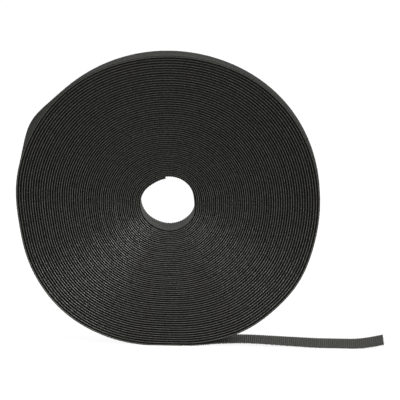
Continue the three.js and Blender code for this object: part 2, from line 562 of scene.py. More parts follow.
@dataclass
class PathTree:
    """A geometry tree that builds something along a TapePath.

    Args:
        name: the tree's name.

    SIZES names its inputs besides the path and the material, each with its kind of socket.
    """

    name: str
    graph: Graph = field(init=False)
    identifiers: dict[str, str] = field(init=False, default_factory=dict)

    SIZES: ClassVar[tuple[tuple[str, str], ...]] = ()

    def __post_init__(self) -> None:
        """Builds the tree, which ends in one smooth mesh of one material."""
        tree = bpy.data.node_groups.new(self.name, "GeometryNodeTree")
        self.graph = Graph(tree)
        kinds = {"Path": "Geometry", **dict(self.SIZES), "Material": "Material"}
        for label, kind in kinds.items():
            socket = tree.interface.new_socket(label, in_out="INPUT", socket_type=f"NodeSocket{kind}")
            self.identifiers[label] = socket.identifier
        tree.interface.new_socket("Mesh", in_out="OUTPUT", socket_type="NodeSocketGeometry")
        entry = self.graph.add("NodeGroupInput")
        made = self.body({label: entry.outputs[label] for label in kinds})
        made = self.graph.add("GeometryNodeSetShadeSmooth", {0: made}).outputs[0]
        made = self.graph.add("GeometryNodeRealizeInstances", {0: made}).outputs[0]
        last = self.graph.add("GeometryNodeSetMaterial", {0: made, "Material": entry.outputs["Material"]})
        self.graph.add("NodeGroupOutput", {0: last.outputs[0]})

    def body(self, given: dict[str, Socket]) -> Socket:
        """The nodes between the tree's inputs and its finish."""
        raise NotImplementedError

    def named(self, label: str, kind: str = "FLOAT") -> Socket:
        """An attribute that the path carries."""
        return self.graph.add("GeometryNodeInputNamedAttribute", {"Name": label}, data_type=kind).outputs[0]

    def outward(self) -> Socket:
        """Unit vectors from the hooked face to the looped one."""
        return self.named("outward", "FLOAT_VECTOR")

    def place(self) -> Socket:
        """Where each point is."""
        return self.graph.add("GeometryNodeInputPosition").outputs[0]

    def axes(self) -> bpy.types.Node:
        """A node that takes each point's place apart into X, Y and Z."""
        return self.graph.add("ShaderNodeSeparateXYZ", {0: self.place()})

    def moved(self, geometry: Socket, offset: Socket) -> Socket:
        """A geometry with its points moved."""
        return self.graph.add("GeometryNodeSetPosition", {0: geometry, "Offset": offset}).outputs[0]

    def seated(self, geometry: Socket, width: Socket) -> Socket:
        """A geometry bent with the tape's edges and moved with its wander.

        Args:
            geometry: what has been built along the path.
            width: width of the tape.

        Returns:
            The geometry in its place.
        """
        g = self.graph
        # 0 at the tape's front edge, 1 at its back edge.
        share = g.math("ADD", g.math("DIVIDE", self.axes().outputs["Y"], width), 0.5)
        rest = g.math("SUBTRACT", 1.0, share)
        back = g.math("MULTIPLY", self.named("back_rise"), g.math("POWER", share, 2.0))
        front = g.math("MULTIPLY", self.named("front_rise"), g.math("POWER", rest, 2.0))
        rise = g.scaled(self.outward(), g.math("ADD", back, front))
        return self.moved(geometry, g.vector("ADD", rise, g.combined(Y=self.named("wander"))))

    def make(self, name: str, path: TapePath, **values: Value) -> bpy.types.Object:
        """Builds a plain mesh along a path.

        Args:
            name: the new piece's name.
            path: the line that it follows.
            values: the tree's other inputs, with _ for a space.

        Returns:
            A mesh object at the origin.
        """
        guide = path.to_object(name + "_path")
        modifier = guide.modifiers.new("build", "NODES")
        modifier.node_group = self.graph.tree
        for label, value in values.items():
            modifier[self.identifiers[label.replace("_", " ")]] = value
        bpy.context.view_layer.update()
        ready = guide.evaluated_get(bpy.context.evaluated_depsgraph_get())
        mesh = bpy.data.meshes.new_from_object(ready)
        wire = guide.data
        bpy.data.objects.remove(guide)
        bpy.data.meshes.remove(wire)
        mesh.name = name
        made = bpy.data.objects.new(name, mesh)
        bpy.context.scene.collection.objects.link(made)
        LOG.info("%s: %d triangles", name, sum(len(p.vertices) - 2 for p in mesh.polygons))
        return made


@dataclass
class StripTree(PathTree):
    """A flat strip with rounded edges along a path, with or without crosswise ribs.

    CUTS is how often each long side of its section is cut, LONG_SHARE the share of the width that makes a
    side long, and ROUND_POINTS the rounding node's count for each corner.
    """

    SIZES: ClassVar[tuple[tuple[str, str], ...]] = (
        ("Width", "Float"),
        ("Thickness", "Float"),
        ("Rounding", "Float"),
        ("Rib Pitch", "Float"),
        ("Rib Height", "Float"),
    )

    CUTS: ClassVar[int] = 4
    LONG_SHARE: ClassVar[float] = 0.5
    ROUND_POINTS: ClassVar[int] = 2

    def divided(self, section: Socket, width: Socket) -> Socket:
        """A section with its long sides cut into shorter ones, so that they can bend.

        Args:
            section: the strip's section, as a curve.
            width: width of the strip.

        Returns:
            The section with more points.
        """
        g = self.graph
        place = self.place()
        after = g.add("GeometryNodeOffsetPointInCurve", {"Offset": 1}).outputs["Point Index"]
        lookup = {"Index": after, "Value": place}
        ahead = g.add("GeometryNodeFieldAtIndex", lookup, data_type="FLOAT_VECTOR").outputs[0]
        length = g.vector("DISTANCE", place, ahead).node.outputs["Value"]
        long = g.math("GREATER_THAN", length, g.math("MULTIPLY", width, self.LONG_SHARE))
        cuts = g.math("MULTIPLY", long, self.CUTS)
        return g.add("GeometryNodeSubdivideCurve", {0: section, "Cuts": cuts}).outputs[0]

    def body(self, given: dict[str, Socket]) -> Socket:
        """Sweeps the strip's section along the path.

        Args:
            given: the tree's inputs, by name.

        Returns:
            The strip.
        """
        g = self.graph
        line = g.add("GeometryNodeMeshToCurve", {0: given["Path"]}).outputs[0]
        line = g.add("GeometryNodeSetCurveNormal", {0: line, "Normal": ACROSS}, mode="FREE").outputs[0]
        sides = {"Width": given["Width"], "Height": given["Thickness"]}
        bar = g.add("GeometryNodeCurvePrimitiveQuadrilateral", sides).outputs[0]
        corners = {0: bar, "Count": self.ROUND_POINTS, "Radius": given["Rounding"]}
        section = g.add("GeometryNodeFilletCurve", corners, mode="POLY").outputs[0]
        section = self.divided(section, given["Width"])
        depth = {0: section, "Name": "depth", "Value": self.axes().outputs["Y"]}
        section = g.add("GeometryNodeStoreNamedAttribute", depth).outputs[0]
        strip = g.add("GeometryNodeCurveToMesh", {0: line, 1: section, "Fill Caps": True}).outputs[0]
        rib = g.math("MULTIPLY", g.wave(self.named("along"), given["Rib Pitch"]), given["Rib Height"])
        ribbed = g.math("DIVIDE", rib, g.math("MULTIPLY", given["Thickness"], 0.5))
        full = g.math("ADD", self.named("fullness"), ribbed)
        thinned = g.math("MULTIPLY", self.named("depth"), g.math("SUBTRACT", 1.0, full))
        strip = self.moved(strip, g.scaled(self.outward(), thinned))
        return self.seated(strip, given["Width"])


@dataclass
class PileTree(PathTree):
    """Rows of hooks or loops across the tape, on one of its faces.

    SMALLEST and LARGEST bound how much the threads differ in size, and FLOOR is how low they may reach.
    """

    SIZES: ClassVar[tuple[tuple[str, str], ...]] = (
        ("Width", "Float"),
        ("Row Pitch", "Float"),
        ("Row Length", "Float"),
        ("Per Row", "Int"),
        ("Root", "Float"),
        ("Face", "Float"),
        ("Start", "Vector"),
        ("Middle", "Vector"),
        ("End", "Vector"),
        ("Thread", "Float"),
        ("Sides", "Int"),
        ("Segments", "Int"),
        ("Jitter", "Float"),
        ("Turn", "Float"),
        ("Seed", "Int"),
    )

    SMALLEST: ClassVar[tuple[float, float, float]] = (0.85, 0.85, 0.85)
    LARGEST: ClassVar[tuple[float, float, float]] = (1.1, 1.1, 1.1)
    FLOOR: ClassVar[float] = 0.03 * MM

    def random(self, low: Value, high: Value, seed: Socket, kind: str = "FLOAT") -> Socket:
        """A random number or vector for each point.

        Args:
            low: the least that it can be.
            high: the most that it can be.
            seed: what it is drawn from.
            kind: FLOAT for a number, FLOAT_VECTOR for a vector.

        Returns:
            The number or vector.
        """
        # The node keeps its sockets for vectors before those for numbers.
        at, out = (0, 0) if kind == "FLOAT_VECTOR" else (2, 1)
        bounds = {at: low, at + 1: high, "Seed": seed}
        return self.graph.add("FunctionNodeRandomValue", bounds, data_type=kind).outputs[out]

    def roots(self, given: dict[str, Socket]) -> Socket:
        """The points that the pile grows from, row by row, every second row half a step aside.

        Args:
            given: the tree's inputs, by name.

        Returns:
            The points.
        """
        g = self.graph
        line = g.add("GeometryNodeMeshToCurve", {0: given["Path"]}).outputs[0]
        spacing = {0: line, "Length": given["Row Pitch"]}
        rows = g.add("GeometryNodeCurveToPoints", spacing, mode="LENGTH").outputs[0]
        step = g.math("DIVIDE", given["Row Length"], given["Per Row"])
        odd = g.math("MODULO", g.add("GeometryNodeInputIndex").outputs[0], 2.0)
        aside = g.math("MULTIPLY", g.math("SUBTRACT", odd, 0.5), g.math("MULTIPLY", step, 0.5))
        rows = self.moved(rows, g.combined(Y=aside))
        first = g.math("MULTIPLY", g.math("SUBTRACT", given["Row Length"], step), -0.5)
        row = g.add("GeometryNodeMeshLine", {
            "Count": given["Per Row"],
            "Start Location": g.combined(Y=first),
            "Offset": g.combined(Y=step),
        }).outputs[0]
        rows = g.add("GeometryNodeInstanceOnPoints", {"Points": rows, "Instance": row}).outputs[0]
        points = g.add("GeometryNodeRealizeInstances", {0: rows}).outputs[0]
        least = g.scaled((1.0, 1.0, 1.0), g.math("MULTIPLY", given["Jitter"], -1.0))
        most = g.scaled((1.0, 1.0, 1.0), given["Jitter"])
        nudge = self.random(least, most, given["Seed"], "FLOAT_VECTOR")
        # Roots move about in the face of the tape, not in and out of it.
        outward = self.outward()
        lift = g.vector("DOT_PRODUCT", nudge, outward).node.outputs["Value"]
        flat = g.vector("SUBTRACT", nudge, g.scaled(outward, lift))
        points = self.moved(points, g.vector("ADD", flat, g.scaled(outward, given["Root"])))
        return self.seated(points, given["Width"])

    def body(self, given: dict[str, Socket]) -> Socket:
        """Stands a bent thread on each root.

        Args:
            given: the tree's inputs, by name.

        Returns:
            The threads, flattened where they would reach below the floor.
        """
        g = self.graph
        bend = g.add("GeometryNodeCurveQuadraticBezier", {
            "Resolution": given["Segments"],
            "Start": given["Start"],
            "Middle": given["Middle"],
            "End": given["End"],
        }).outputs[0]
        circle = {"Resolution": given["Sides"], "Radius": given["Thread"]}
        ring = g.add("GeometryNodeCurvePrimitiveCircle", circle).outputs[0]
        thread = g.add("GeometryNodeCurveToMesh", {0: bend, 1: ring, "Fill Caps": True}).outputs[0]
        up = g.scaled(self.outward(), given["Face"])
        stand = g.add("FunctionNodeAxesToRotation", {0: up, 1: ACROSS}).outputs[0]
        angle = self.random(g.math("MULTIPLY", given["Turn"], -1.0), given["Turn"], given["Seed"])
        turn = g.add("FunctionNodeAxisAngleToRotation", {0: (0.0, 0.0, 1.0), 1: angle}).outputs[0]
        stand = g.add("FunctionNodeRotateRotation", {0: stand, 1: turn}, rotation_space="LOCAL").outputs[0]
        pile = g.add("GeometryNodeInstanceOnPoints", {
            "Points": self.roots(given),
            "Instance": thread,
            "Rotation": stand,
            "Scale": self.random(self.SMALLEST, self.LARGEST, given["Seed"], "FLOAT_VECTOR"),
        }).outputs[0]
        pile = g.add("GeometryNodeRealizeInstances", {0: pile}).outputs[0]
        place = self.axes().outputs
        height = g.math("MAXIMUM", place["Z"], self.FLOOR)
        pressed = g.combined(X=place["X"], Y=place["Y"], Z=height)
        return g.add("GeometryNodeSetPosition", {0: pile, "Position": pressed}).outputs[0]


@dataclass(frozen=True)
class Swell:
    """A soft rise or dent in the roll's round.

    Args:
        angle: where it is.
        rise: how far the outermost turn stands off its round there.
        spread: how wide it is, in degrees.
    """

    angle: float
    rise: float
    spread: float

    def height(self, angles: np.ndarray) -> np.ndarray:
        """How far it stands off at these angles."""
        offset = (angles - self.angle + FULL_TURN / 2) % FULL_TURN - FULL_TURN / 2
        return self.rise * np.exp(-0.5 * (offset / self.spread) ** 2)


@dataclass(frozen=True)
class Wander:
    """A slow wave in how the tape was wound.

    Args:
        size: how far it goes each way.
        turns: how many turns one wave takes.
        phase: where it starts, in waves.
    """

    size: float
    turns: float
    phase: float

    def at(self, angles: np.ndarray) -> np.ndarray:
        """Its value at these angles."""
        return self.size * np.sin(math.tau * (angles / FULL_TURN / self.turns + self.phase))


@dataclass(frozen=True)
class Winding:
    """The spiral that the tape is wound on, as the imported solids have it.

    Args:
        tape: the tape's layers.
        bore_radius: radius of the bore on the true spiral.
        bore_clearance: gap from turn to turn at the bore, where they are pressed together.
        outer_clearance: gap from turn to turn at the outside, where they lie looser.
        inner_end: angle of the tape's inner end.
        outer_end: angle where the tape leaves the roll.
        lowest: angle where the roll stands.
        whole_turns: full turns that the angle of the outer end has counted on.
        inner_loops: turns in the innermost piece.
        outer_loops: turns in the outer pieces, the outermost turn among them.
        lead: degrees before the outer end where the tail's first piece begins.
        stand_flat: depth of the flat that the roll stands on.
        pressed_depth: how deep into the roll the turns are pressed together over it.
        floor_gap: height of the flat over the floor.
        swells: where the outermost turn stands off a true circle.
        flare: where the outermost turn's back edge is bent outwards.
        front_swells: where the front edges of the outer turns are bent outwards.
        bore_sag: how far the innermost turns have sunk into the bore.
        end_curl: how much further the inner end has curled in.
        curl_spread: degrees over which that fades out.
        bore_front: where the front edges of the innermost turns lean in.
        bore_swells: where the bore stands off a true circle.
        bore_fade: depth of turns over which the bore's own shape fades out.
        sideways: waves in how far the turns lie off centre.
        in_and_out: waves in how far the turns lie from the axis.
    """

    tape: Tape = Tape()
    bore_radius: float = 21.6 * MM
    bore_clearance: float = 0.3 * MM
    outer_clearance: float = 0.98 * MM
    inner_end: float = 96.0
    outer_end: float = 280.0
    lowest: float = 270.0
    whole_turns: int = 57
    inner_loops: int = 1
    outer_loops: int = 23
    lead: float = 4.0
    stand_flat: float = 0.5 * MM
    pressed_depth: float = 7.2 * MM
    floor_gap: float = 0.05 * MM
    swells: tuple[Swell, ...] = (
        Swell(42.5, 1.2 * MM, 18.0),
        Swell(189.0, -2.2 * MM, 9.5),
        Swell(228.7, 1.7 * MM, 12.0),
        Swell(268.4, -2.3 * MM, 9.9),
        Swell(303.0, 2.3 * MM, 9.5),
        Swell(326.5, 2.6 * MM, 10.5),
    )
    flare: Swell = Swell(151.0, 4.0 * MM, 6.7)
    front_swells: tuple[Swell, ...] = (
        Swell(62.0, 1.9 * MM, 22.0),
        Swell(130.0, 2.2 * MM, 20.0),
    )
    bore_sag: float = 0.42 * MM
    end_curl: float = 0.35 * MM
    curl_spread: float = 25.0
    bore_front: Swell = Swell(228.0, -0.6 * MM, 45.0)
    bore_swells: tuple[Swell, ...] = (
        Swell(6.0, -1.4 * MM, 16.0),
        Swell(62.0, 0.75 * MM, 22.0),
        Swell(123.0, -0.8 * MM, 14.0),
        Swell(172.0, 0.35 * MM, 16.0),
        Swell(245.0, -0.45 * MM, 14.0),
    )
    bore_fade: float = 9.0 * MM
    sideways: tuple[Wander, ...] = (
        Wander(0.07 * MM, 1.37, 0.1),
        Wander(0.05 * MM, 0.43, 0.6),
        Wander(0.05 * MM, 6.3, 0.3),
    )
    in_and_out: tuple[Wander, ...] = (
        Wander(0.05 * MM, 1.71, 0.2),
        Wander(0.04 * MM, 0.37, 0.8),
    )

    @property
    def end(self) -> float:
        """The angle where the tape leaves the roll."""
        return self.outer_end + FULL_TURN * self.whole_turns

    @property
    def wound_radius(self) -> float:
        """Radius of the true spiral where the tape leaves it."""
        return float(self.inner_face(np.array([self.end]))[0]) + self.tape.thickness

    @property
    def axis_height(self) -> float:
        """Height of the roll's axis over the floor."""
        below = self.end - (self.outer_end - self.lowest)
        return float(self.radius(np.array([below]), self.tape.thickness)[0]) - self.stand_flat

    def inner_face(self, angles: np.ndarray) -> np.ndarray:
        """Radius of the tape's inner face on the true spiral, whose turns loosen evenly outwards.

        Args:
            angles: where it is asked for.

        Returns:
            One radius for each angle.
        """
        turns = (angles - self.inner_end) / FULL_TURN
        whole = (self.end - self.inner_end) / FULL_TURN
        loosening = (self.outer_clearance - self.bore_clearance) * turns**2 / (2 * whole)
        return self.bore_radius + (self.tape.thickness + self.bore_clearance) * turns + loosening

    def radius(self, angles: np.ndarray, depth: float) -> np.ndarray:
        """Radius at a depth into the tape. The roll's swells fade out inwards, and the bore's outwards.

        Args:
            angles: where it is asked for.
            depth: how far into the tape.

        Returns:
            One radius for each angle.
        """
        inner = self.inner_face(angles)
        true = inner + depth
        share = (true - self.bore_radius) / (self.wound_radius - self.bore_radius)
        curl = self.end_curl * np.exp((self.inner_end - angles) / self.curl_spread)
        bore = sum(swell.height(angles) for swell in self.bore_swells) - self.bore_sag - curl
        fade = np.exp((self.bore_radius - inner) / self.bore_fade)
        return true + share * sum(swell.height(angles) for swell in self.swells) + fade * bore

    def path(self, start: float, stop: float, depth: float, step: float) -> TapePath:
        """The line at a depth into the tape, from one angle to another.

        Args:
            start: the angle where the line begins.
            stop: the angle where it ends.
            depth: how far into the tape it lies.
            step: the angle from point to point.

        Returns:
            The line, with its turns pressed together where the roll stands.
        """
        angles = np.linspace(start, stop, max(2, round((stop - start) / step) + 1))
        turn = np.radians(angles)
        # The outermost turn's outer face, on the same side of the roll.
        outer = self.radius(self.end - (self.end - angles) % FULL_TURN, self.tape.thickness)
        radius = self.radius(angles, depth)
        # The waves in the winding fade out over the last turn, which the tail goes on from.
        fixed = np.clip((self.end - angles) / FULL_TURN, 0.0, 1.0)
        radius = radius + fixed * sum(wave.at(angles) for wave in self.in_and_out)
        # The outermost turn is raised out of the floor, and the turns over it less and less.
        sunk = np.maximum(0.0, self.floor_gap - self.axis_height - outer * np.sin(turn))
        raised = sunk * np.clip(1.0 - (outer - radius) / self.pressed_depth, 0.0, 1.0)
        outward = np.stack([np.cos(turn), np.zeros_like(turn), np.sin(turn)], axis=1)
        points = radius[:, None] * outward
        points[:, 2] += self.axis_height + raised
        steps = np.linalg.norm(np.diff(points, axis=0), axis=1)
        along = np.concatenate([[0.0], np.cumsum(steps)])
        last = angles > self.end - FULL_TURN
        flare = np.where(last, self.flare.height(angles), 0.0)
        inward = self.inner_face(angles) - self.bore_radius
        share = inward / (self.wound_radius - self.bore_radius)
        rise = share**2 * sum(swell.height(angles) for swell in self.front_swells)
        rise = rise + np.exp(-inward / self.bore_fade) * self.bore_front.height(angles)
        wander = fixed * sum(wave.at(angles) for wave in self.sideways)
        return TapePath(points, outward, along, rise, flare, wander, np.ones_like(angles))


@dataclass
class Finishes:
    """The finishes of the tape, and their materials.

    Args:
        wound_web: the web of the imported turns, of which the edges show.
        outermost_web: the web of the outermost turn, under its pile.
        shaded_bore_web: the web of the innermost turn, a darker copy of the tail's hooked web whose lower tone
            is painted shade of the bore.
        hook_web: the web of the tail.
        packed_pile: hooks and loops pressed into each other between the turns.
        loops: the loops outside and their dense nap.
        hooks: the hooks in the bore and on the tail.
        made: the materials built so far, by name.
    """

    wound_web: WebFinish = WebFinish(
        "wound web",
        "woven_tape",
        dark=(0.004, 0.004, 0.0034),
        light=(0.0835, 0.0827, 0.0688),
        weave=Weave.BEADS,
        painted_hollow_shade=0.65,
        turn_contrast=0.3,
        outer_share=0.1,
        shine=Gloss(0.34, 1.0, refraction=1.6),
    )
    outermost_web: WebFinish = WebFinish(
        "outermost web",
        "woven_tape",
        dark=(0.006, 0.0059, 0.005),
        light=(0.085, 0.0842, 0.07),
        painted_hollow_shade=0.25,
        outer_share=0.8,
        shine=Gloss(0.42, 0.7),
    )
    # A darker copy of the hooked web: its lower tone is painted shade inside the bore.
    shaded_bore_web: WebFinish = WebFinish(
        "bore web",
        "hook_face",
        dark=(0.007, 0.0069, 0.0058),
        light=(0.0341, 0.0337, 0.0283),
        painted_hollow_shade=0.25,
        outer_share=0.7,
        shine=Gloss(0.6, 0.3),
    )
    hook_web: WebFinish = WebFinish(
        "hooked web",
        "hook_face",
        dark=(0.004, 0.0039, 0.0034),
        light=(0.077, 0.076, 0.0637),
        painted_hollow_shade=0.95,
        outer_share=0.7,
        shine=Gloss(0.6, 0.2),
    )
    packed_pile: PileFinish = PileFinish(
        "packed pile",
        "woven_tape",
        dark=(0.004, 0.0039, 0.0033),
        light=(0.0205, 0.0202, 0.017),
        gloss=Gloss(0.95, 0.05),
    )
    loops: PileFinish = PileFinish(
        "loop pile",
        "woven_tape",
        dark=(0.005, 0.0049, 0.0042),
        light=(0.0225, 0.0222, 0.0186),
        gloss=Gloss(0.9, 0.1, 0.05),
    )
    hooks: PileFinish = PileFinish(
        "hooks",
        "hook_face",
        dark=(0.018, 0.0176, 0.015),
        light=(0.06, 0.0588, 0.049),
        gloss=Gloss(0.6, 0.2),
    )
    made: dict[str, bpy.types.Material] = field(default_factory=dict)

    def material(self, finish: Union[WebFinish, PileFinish]) -> bpy.types.Material:
        """The material of a finish, built once.

        Args:
            finish: one of the finishes.

        Returns:
            Its material.
        """
        if finish.name not in self.made:
            self.made[finish.name] = finish.material()
        return self.made[finish.name]


@dataclass
class Maker:
    """Builds the tape's layers along any path, in the finishes.

    Args:
        tape: the tape's layers.
        finishes: what they are dressed in.
        strips: the tree that makes webs and dense pile.
        piles: the tree that makes hooks and loops.

    ROW_FIT keeps the rows a hair closer than the ribs, so that rounding never loses the last one, and
    PATH_POINTS is how many steps their path takes from rib to rib.
    """

    tape: Tape
    finishes: Finishes
    strips: StripTree = field(default_factory=lambda: StripTree("tape strip"))
    piles: PileTree = field(default_factory=lambda: PileTree("pile rows"))

    ROW_FIT: ClassVar[float] = 0.9999
    PATH_POINTS: ClassVar[int] = 4

    def web(self, name: str, path: TapePath, finish: WebFinish, ribbed: bool) -> bpy.types.Object:
        """The woven web along a path.

        Args:
            name: the piece's name.
            path: the middle of the web.
            finish: the web's finish.
            ribbed: whether its ribs stand out.

        Returns:
            The web as one mesh.
        """
        made = self.strips.make(
            name,
            path,
            Width=self.tape.width,
            Thickness=self.tape.web,
            Rounding=self.tape.rounding,
            Rib_Pitch=self.tape.rib_pitch,
            Rib_Height=self.tape.rib_height if ribbed else 0.0,
            Material=self.finishes.material(finish),
        )
        return made

    def layer(
        self, name: str, path: TapePath, thickness: float, inset: float, finish: PileFinish
    ) -> bpy.types.Object:
        """Pile so dense that it shows as one soft layer.

        Args:
            name: the piece's name.
            path: the middle of the layer.
            thickness: how thick it is.
            inset: how far it is set back from the tape's edges.
            finish: the pile's finish.

        Returns:
            The layer as one mesh.
        """
        made = self.strips.make(
            name,
            path,
            Width=self.tape.width - 2 * inset,
            Thickness=thickness,
            Rounding=min(self.tape.pile_rounding, self.tape.pile_rounding_share * thickness),
            Rib_Pitch=self.tape.rib_pitch,
            Rib_Height=0.0,
            Material=self.finishes.material(finish),
        )
        return made

    def hooks(self, name: str, path: TapePath, tall: float, seed: int) -> bpy.types.Object:
        """Rows of hooks along the ribs of the tape's inner face.

        Args:
            name: the piece's name.
            path: the middle of the web.
            tall: about how high the hooks are.
            seed: what the small irregularities are drawn from.

        Returns:
            The hooks as one mesh.
        """
        return self.pile(name, path, Face.HOOKS, seed, self.finishes.hooks, {
            "Per_Row": 26,
            "Start": (0.0, 0.0, 0.0),
            "Middle": (0.0, 0.0, 1.6 * tall),
            "End": (0.4 * MM, 0.0, 0.5 * tall),
            "Thread": 0.12 * MM,
            "Sides": 4,
            "Segments": 4,
            "Jitter": 0.12 * MM,
            "Turn": math.radians(40),
        })

    def loops(self, name: str, path: TapePath, tall: float, per_row: int, seed: int) -> bpy.types.Object:
        """Loops all over the tape's outer face.

        Args:
            name: the piece's name.
            path: the middle of the web.
            tall: about how high the loops are.
            per_row: how many of them stand in a row.
            seed: what the small irregularities are drawn from.

        Returns:
            The loops as one mesh.
        """
        return self.pile(name, path, Face.LOOPS, seed, self.finishes.loops, {
            "Per_Row": per_row,
            "Start": (-0.5 * MM, 0.0, 0.0),
            "Middle": (0.0, 0.0, 2.0 * tall),
            "End": (0.5 * MM, 0.0, 0.0),
            "Thread": 0.13 * MM,
            "Sides": 3,
            "Segments": 3,
            "Jitter": 0.6 * MM,
            "Turn": math.radians(85),
        })

    def pile(
        self, name: str, path: TapePath, face: Face, seed: int, finish: PileFinish, shape: dict[str, Value]
    ) -> bpy.types.Object:
        """Rows of threads of a given shape on one face.

        Args:
            name: the piece's name.
            path: the middle of the web.
            face: which face the threads stand on.
            seed: what the small irregularities are drawn from.
            finish: the threads' finish.
            shape: the inputs that give one thread its shape and the rows their count.

        Returns:
            The threads as one mesh.
        """
        pitch = self.tape.rib_pitch
        first = math.ceil(path.along[0] / pitch)
        last = math.floor(path.along[-1] / pitch)
        made = self.piles.make(
            name,
            path.part(first * pitch, last * pitch, pitch / self.PATH_POINTS),
            Width=self.tape.width,
            Row_Pitch=self.ROW_FIT * pitch,
            Row_Length=self.tape.width - self.tape.row_margin,
            Root=face.value * (self.tape.web / 2 - self.tape.root_depth),
            Face=face.value,
            Seed=seed,
            Material=self.finishes.material(finish),
            **shape,
        )
        return made


@dataclass
class Roll:
    """The wound part of the tape, which stands on the floor.

    Args:
        winding: the spiral.
        maker: what builds the layers.
        body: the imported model's body that it rides on.
        ribbed_step: degrees from point to point on the innermost turn, before its ribs are laid out.
        packed_step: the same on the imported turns.
        outer_step: the same on the outer turns.
        outermost_step: the same on the outermost turn.
        pile_step: the same on the pile between the turns.
        pile_sink: how far that pile reaches into the webs on each side.
        nap_height: height of the outermost turn's dense nap.
        nap_inset: how far it is set back from the tape's edges.
        least_nap: what is left of it where the roll stands, as a share.
        hook_height: height of the bore's hooks.
        hook_seed: what their irregularities are drawn from.
        loop_height: height of the outermost turn's loops.
        loops_per_row: how many of them stand in a row.
        loop_seed: what their irregularities are drawn from.
    """

    winding: Winding
    maker: Maker
    body: str = "roll"
    ribbed_step: float = 0.5
    packed_step: float = 4.0
    outer_step: float = 3.0
    outermost_step: float = 1.0
    pile_step: float = 5.0
    pile_sink: float = 0.1 * MM
    nap_height: float = 0.4 * MM
    nap_inset: float = 0.1 * MM
    least_nap: float = 0.1
    hook_height: float = 0.2 * MM
    hook_seed: int = 3
    loop_height: float = 0.55 * MM
    loops_per_row: int = 20
    loop_seed: int = 5

    @property
    def tape(self) -> Tape:
        """The tape's layers."""
        return self.winding.tape

    @property
    def stops(self) -> tuple[float, float, float, float, float]:
        """The angles that part the pieces.

        Returns:
            Where the tape begins, and where its innermost turn, packed turns, outer turns and outermost turn
            end.
        """
        w = self.winding
        inner = w.inner_end + w.inner_loops * FULL_TURN
        outer = w.end - w.outer_loops * FULL_TURN
        return w.inner_end, inner, outer, w.end - FULL_TURN, w.end - w.lead

    def web_path(self, start: float, stop: float, step: float) -> TapePath:
        """The middle of the web between two angles."""
        return self.winding.path(start, stop, self.tape.web_depth, step)

    def ribbed_path(self, start: float, stop: float) -> TapePath:
        """The middle of the web at steps fine enough for its ribs."""
        path = self.web_path(start, stop, self.ribbed_step)
        return path.part(path.along[0], path.along[-1], self.tape.rib_step)

    def build(self) -> TapePath:
        """Builds the wound pieces.

        Returns:
            The outermost turn's line, which the tail goes on from.
        """
        begin, inner, outer, last, stop = self.stops
        finishes = self.maker.finishes
        innermost = self.ribbed_path(begin, inner)
        middle = self.web_path(inner, outer, self.packed_step)
        outer_path = self.web_path(outer, last, self.outer_step)
        outermost = self.web_path(last, stop, self.outermost_step)
        webs = (
            ("inner_turn_web", innermost, finishes.shaded_bore_web, True, "inner_turn"),
            ("middle_wraps_web", middle, finishes.wound_web, False, "middle_wraps"),
            ("outer_wraps_web", outer_path, finishes.wound_web, False, "outer_wraps"),
            ("outermost_turn_web", outermost, finishes.outermost_web, False, "outer_wraps"),
        )
        hooks = self.maker.hooks("inner_turn_hooks", innermost, self.hook_height, self.hook_seed)
        loops = self.maker.loops(
            "outermost_turn_loops", outermost, self.loop_height, self.loops_per_row, self.loop_seed
        )
        piles = {"inner_turn_web": [hooks], "outermost_turn_web": [loops, self.nap()], **self.packings()}
        for name, path, finish, ribbed, node in webs:
            web = self.maker.web(name, path, finish, ribbed)
            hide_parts(node)
            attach(web, self.body)
            for pile in piles[name]:
                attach(pile, self.body)
            self.tape.width
        return outermost

    def nap(self) -> bpy.types.Object:
        """The dense roots of the outermost turn's loops, flattened where the roll stands.

        Returns:
            The nap as one mesh.
        """
        *_, last, stop = self.stops
        depth = self.tape.web_depth + (self.tape.web + self.nap_height) / 2
        path = self.winding.path(last, stop, depth, self.outermost_step)
        path.fullness = np.clip(2 * path.points[:, 2] / self.nap_height, self.least_nap, 1.0)
        return self.maker.layer(
            "outermost_turn_nap", path, self.nap_height, self.nap_inset, self.maker.finishes.loops
        )

    def packings(self) -> dict[str, list[bpy.types.Object]]:
        """The pile between the turns.

        Returns:
            Its pieces, by the name of the web that they lie on.
        """
        begin, _, outer, last, _ = self.stops
        spans = {
            "middle_wraps_web": ("inner_wraps_pile", begin, outer),
            "outer_wraps_web": ("outer_wraps_pile", outer, last - self.winding.lead),
        }
        made = {}
        for web, (name, start, stop) in spans.items():
            below = self.web_path(start, stop, self.pile_step)
            above = self.web_path(start + FULL_TURN, stop + FULL_TURN, self.pile_step)
            apart = np.linalg.norm(above.points - below.points, axis=1)
            thickness = apart - self.tape.web + 2 * self.pile_sink
            path = below.between(above)
            path.fullness = thickness / thickness.max()
            finish = self.maker.finishes.packed_pile
            made[web] = [self.maker.layer(name, path, float(thickness.max()), self.tape.edge_inset, finish)]
        return made


@dataclass(frozen=True)
class Lie:
    """How the free tail lies at one place, with its pile loose under it.

    Args:
        along: distance from the roll's axis.
        lift: how far the web is lifted by the pile.
        twist: degrees that its back edge leans down.
    """

    along: float
    lift: float
    twist: float


